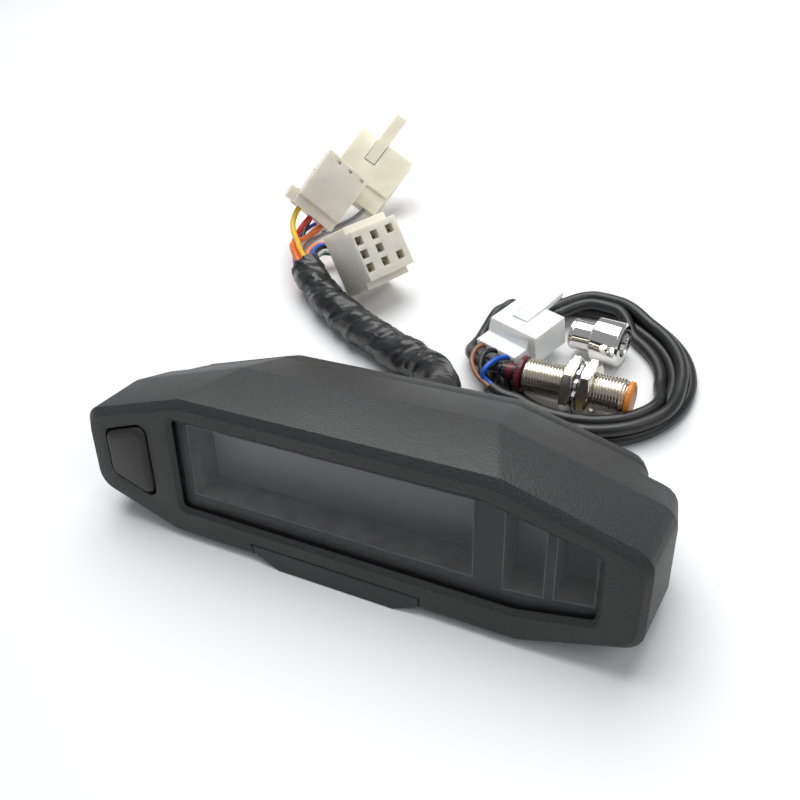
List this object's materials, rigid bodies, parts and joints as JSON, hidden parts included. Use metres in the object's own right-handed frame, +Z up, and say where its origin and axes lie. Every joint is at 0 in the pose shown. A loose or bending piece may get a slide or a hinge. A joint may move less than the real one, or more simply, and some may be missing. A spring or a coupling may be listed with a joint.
{
  "type": "instrument cluster",
  "caption": "Motorcycle display cluster in a long dark housing leaning back on its trim, with taped harness, plug connectors, threaded speed sensor on a coiled lead, and chromed drive adapter.",
  "frame": {"origin": "centre of the footprint of the cluster itself (housing, trim, rear cover, bosses and grommet), on the surface it stands on", "axes": "+X across the face to its right-hand end, +Y away from the viewer, through the housing towards the harness, +Z up. The face leans back 16 degrees."},
  "size_m": [0.1938, 0.2191, 0.0456],
  "materials": {
    "grained_plastic": "fine moulded grain",
    "button_plastic": "satin",
    "smoked_lens": "clear window, polished",
    "black_film": "printed black film",
    "frame_plastic": "satin",
    "lcd_glass": "display glass, off",
    "light_guide": "milky",
    "board": "solder mask",
    "chip": "moulded",
    "steel": "zinc plated",
    "nickel": "nickel plated brass",
    "chrome": "polished",
    "brass": "turned",
    "rubber": "matt",
    "tape": "wrapped vinyl tape",
    "cable": "satin cable jacket",
    "nylon": "natural nylon",
    "white_nylon": "white nylon",
    "wires": "mixed insulation colours",
    "orange": "moulded",
    "maroon": "moulded"
  },
  "bodies": {
    "cluster": {"front_housing": "grained_plastic", "rear_cover": "grained_plastic", "lower_trim": "grained_plastic", "housing_seal": "rubber", "lens": "smoked_lens", "lens_gasket": "rubber", "window_mask": "black_film", "display_frame": "frame_plastic", "lcd_main": "lcd_glass", "lcd_side": "lcd_glass", "backlight_panel": "light_guide", "circuit_board": "board", "microcontroller": "chip", "capacitor": "steel", "board_header": "nylon", "micro_switch": "chip", "board_screw_1": "steel", "board_screw_2": "steel", "board_screw_3": "steel", "cover_screw_1": "steel", "cover_screw_2": "steel", "cover_screw_3": "steel", "cover_screw_4": "steel", "cover_screw_5": "steel", "cover_screw_6": "steel", "mount_insert_left": "brass", "mount_insert_right": "brass", "harness_grommet": "rubber", "harness_sleeve": "tape", "wires_nine_way": "wires", "wires_three_way": "wires", "wires_six_way": "wires", "connector_nine_way": "nylon", "connector_three_way": "nylon", "connector_six_way": "nylon", "sensor_plug": "white_nylon", "sensor_barrel": "nickel", "sensor_cap": "orange", "sensor_end_ring": "maroon", "sensor_gland": "rubber", "nut_front": "nickel", "nut_rear": "nickel", "lock_washer": "steel", "sensor_lead": "cable", "sensor_coil": "cable", "lead_tail": "cable", "plug_wires": "wires", "drive_adapter": "chrome"},
    "mode_button": {"mode_button": "button_plastic", "switch_plunger": "button_plastic"},
    "three_way_latch": {"latch_three_way": "nylon"},
    "six_way_latch": {"latch_six_way": "nylon"},
    "plug_latch": {"latch_plug": "white_nylon"}
  },
  "joints": [
    {"name": "button_press", "type": "slide", "parent": "cluster", "child": "mode_button", "axis": [0, 0.9613, -0.2756], "range_m": [0, 0.0012], "stiffness_N_per_m": 800, "springref_m": -0.0004},
    {"name": "three_way_latch_lift", "type": "hinge", "parent": "cluster", "child": "three_way_latch", "pos_m": [-0.09915, 0.13578, 0.02751], "axis": [-0.705, 0.5673, -0.4255], "range_deg": [0, 4], "stiffness_Nm_per_rad": 0.02, "springref_deg": -1.15},
    {"name": "six_way_latch_lift", "type": "hinge", "parent": "cluster", "child": "six_way_latch", "pos_m": [-0.08404, 0.16726, 0.02476], "axis": [0.8229, -0.0042, -0.5681], "range_deg": [0, 4], "stiffness_Nm_per_rad": 0.02, "springref_deg": -1.15},
    {"name": "plug_latch_lift", "type": "hinge", "parent": "cluster", "child": "plug_latch", "pos_m": [0.01816, 0.08245, 0.0143], "axis": [0.9282, -0.3721, 0], "range_deg": [0, 4], "stiffness_Nm_per_rad": 0.02, "springref_deg": -1.15}
  ]
}
